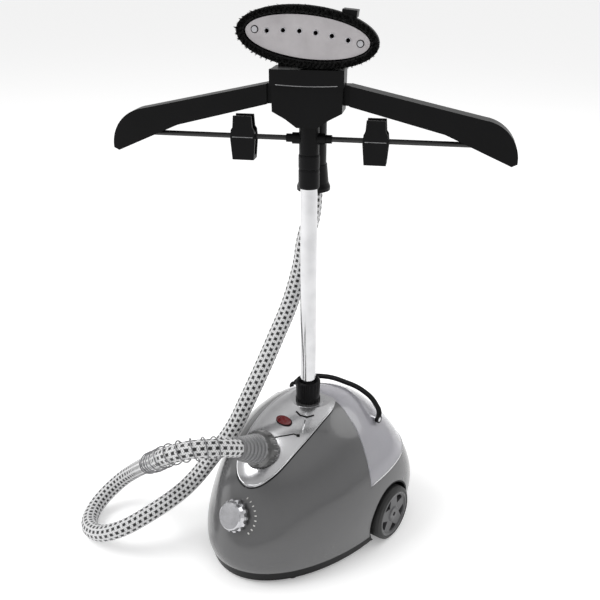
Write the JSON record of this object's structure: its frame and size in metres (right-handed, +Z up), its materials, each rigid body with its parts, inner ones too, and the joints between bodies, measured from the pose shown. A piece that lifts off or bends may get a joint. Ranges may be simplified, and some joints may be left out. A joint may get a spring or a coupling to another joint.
{
  "type": "garment steamer",
  "caption": "Floor-standing garment steamer: wheeled water-boiler base, telescopic pole, clothes hanger with clips, and a brush head on a braided hose.",
  "frame": {"origin": "on the floor under the middle of the base, measured without the hose", "axes": "+Z up along the pole, -Y towards the front of the base with the dial, +X to the right wheel"},
  "size_m": [0.4485, 0.3683, 0.6667],
  "materials": {
    "black_plastic": "moulded matt black",
    "rubber": "soft black",
    "grey_gloss": "glossy grey",
    "chrome_panel": "chromed plastic",
    "red_lens": "clear dark red",
    "cast_aluminium": "as cast",
    "steel": "zinc plated",
    "silicone": "translucent",
    "brass_fitting": "plated",
    "white_plastic": "plain",
    "grey_rubber": "ribbed",
    "braided_hose": "white braid with black flecks",
    "spiral_wire": "coated wire",
    "pole_metal": "polished tube",
    "tyre": "matt black",
    "hub_grey": "satin grey",
    "chrome_knob": "chromed plastic",
    "nut_grey": "dark chromed",
    "hanger_black": "satin black",
    "rod_black": "black",
    "clip_black": "black",
    "handle_black": "black",
    "soleplate": "brushed",
    "bristles": "black nylon",
    "tank_clear": "smoky clear"
  },
  "bodies": {
    "root": {"base_pan": "black_plastic", "front_feet": "rubber", "body_shell": "grey_gloss", "control_panel": "chrome_panel", "lamp_lens": "red_lens", "pole_socket": "black_plastic", "boiler": "cast_aluminium", "boiler_cover": "cast_aluminium", "boiler_screws": "steel", "thermostat": "steel", "steam_pipe": "silicone", "hose_port": "brass_fitting", "dial_switch": "black_plastic", "terminal_block": "white_plastic", "cord_gland": "black_plastic", "shell_screws": "steel", "valve_seat": "black_plastic", "feed_tube": "silicone", "wheel_axle": "steel", "hose_sleeve": "grey_rubber", "steam_hose": "braided_hose", "support_spiral": "spiral_wire", "outer_pole": "pole_metal"},
    "right_wheel": {"right_tyre": "tyre", "right_hub": "hub_grey"},
    "left_wheel": {"left_tyre": "tyre", "left_hub": "hub_grey"},
    "dial": {"dial_knob": "chrome_knob", "dial_shaft": "steel"},
    "hose_nut": {"hose_nut": "nut_grey"},
    "pole_collar": {"pole_collar": "black_plastic"},
    "lower_clamp": {"lower_clamp": "black_plastic"},
    "middle_pole": {"middle_pole": "pole_metal"},
    "upper_clamp": {"upper_clamp": "black_plastic"},
    "inner_pole": {"inner_pole": "pole_metal"},
    "hanger": {"hanger_hub": "hanger_black", "left_arm": "hanger_black", "right_arm": "hanger_black", "clip_rods": "rod_black"},
    "left_clip": {"left_clip_back": "clip_black", "left_clip_spring": "steel"},
    "left_jaw": {"left_clip_front": "clip_black"},
    "right_clip": {"right_clip_back": "clip_black", "right_clip_spring": "steel"},
    "right_jaw": {"right_clip_front": "clip_black"},
    "handset": {"head_housing": "handle_black", "soleplate": "soleplate", "soleplate_screws": "steel", "handle_front": "handle_black", "handle_back": "handle_black", "steam_tube": "silicone", "hose_cuff": "handle_black"},
    "brush": {"bristle_frame": "bristles"},
    "latch": {"brush_latch": "clip_black"},
    "tank": {"water_tank": "tank_clear", "tank_cap": "black_plastic", "valve_spring": "steel", "handle_pins": "steel"},
    "valve": {"valve_plunger": "white_plastic"},
    "carry_handle": {"tank_handle": "black_plastic"}
  },
  "joints": [
    {"name": "right_wheel_spin", "type": "hinge", "parent": "root", "child": "right_wheel", "pos_m": [0, 0.0467, 0.0367], "axis": [1, 0, 0], "continuous": true},
    {"name": "left_wheel_spin", "type": "hinge", "parent": "root", "child": "left_wheel", "pos_m": [0, 0.0467, 0.0367], "axis": [1, 0, 0], "continuous": true},
    {"name": "dial_turn", "type": "hinge", "parent": "root", "child": "dial", "pos_m": [0, -0.127, 0.085], "axis": [0, -0.8984, 0.4392], "range_deg": [0, 270]},
    {"name": "hose_nut_turn", "type": "hinge", "parent": "root", "child": "hose_nut", "pos_m": [0, -0.07, 0.15], "axis": [0, -0.867, 0.4983], "range_deg": [0, 90]},
    {"name": "pole_collar_turn", "type": "hinge", "parent": "root", "child": "pole_collar", "pos_m": [0, 0.016, 0.19], "axis": [0, 0, 1], "range_deg": [0, 90]},
    {"name": "lower_clamp_turn", "type": "hinge", "parent": "root", "child": "lower_clamp", "pos_m": [0, 0.016, 0.47], "axis": [0, 0, 1], "range_deg": [0, 90]},
    {"name": "mast_lower_slide", "type": "slide", "parent": "root", "child": "middle_pole", "axis": [0, 0, 1], "range_m": [0, 0.33]},
    {"name": "upper_clamp_turn", "type": "hinge", "parent": "middle_pole", "child": "upper_clamp", "pos_m": [0, 0.016, 0.49], "axis": [0, 0, 1], "range_deg": [0, 90]},
    {"name": "mast_upper_slide", "type": "slide", "parent": "middle_pole", "child": "inner_pole", "axis": [0, 0, 1], "range_m": [0, 0.33]},
    {"name": "hanger_swivel", "type": "hinge", "parent": "inner_pole", "child": "hanger", "pos_m": [0, 0.016, 0.55], "axis": [0, 0, 1], "continuous": true},
    {"name": "left_clip_slide", "type": "slide", "parent": "hanger", "child": "left_clip", "axis": [0.8854, 0.4648, 0], "range_m": [-0.012, 0.03]},
    {"name": "left_jaw_open", "type": "hinge", "parent": "left_clip", "child": "left_jaw", "pos_m": [-0.06694, -0.01914, 0.523], "axis": [-0.8854, -0.4648, 0], "range_deg": [0, 18], "stiffness_Nm_per_rad": 0.2, "springref_deg": -11.46},
    {"name": "right_clip_slide", "type": "slide", "parent": "hanger", "child": "right_clip", "axis": [0.8854, 0.4648, 0], "range_m": [-0.03, 0.012]},
    {"name": "right_jaw_open", "type": "hinge", "parent": "right_clip", "child": "right_jaw", "pos_m": [0.06694, 0.05114, 0.523], "axis": [-0.8854, -0.4648, 0], "range_deg": [0, 18], "stiffness_Nm_per_rad": 0.2, "springref_deg": -11.46},
    {"name": "handset_lift", "type": "slide", "parent": "hanger", "child": "handset", "axis": [0, 0, 1], "range_m": [0, 0.065]},
    {"name": "brush_off", "type": "slide", "parent": "handset", "child": "brush", "axis": [0.4648, -0.8854, 0], "range_m": [0, 0.03]},
    {"name": "latch_flip", "type": "hinge", "parent": "handset", "child": "latch", "pos_m": [0.03813, 0.03941, 0.65991], "axis": [-0.8815, -0.4628, 0.0941], "range_deg": [0, 35]},
    {"name": "tank_lift", "type": "slide", "parent": "root", "child": "tank", "axis": [0, 0.6392, 0.769], "range_m": [0, 0.15]},
    {"name": "valve_press", "type": "slide", "parent": "tank", "child": "valve", "axis": [0, 0, 1], "range_m": [0, 0.004], "stiffness_N_per_m": 200, "springref_m": -0.004, "deforming": ["valve_spring"]},
    {"name": "carry_handle_fold", "type": "hinge", "parent": "tank", "child": "carry_handle", "pos_m": [0, 0.075, 0.15], "axis": [1, 0, 0], "range_deg": [0, 60]}
  ]
}
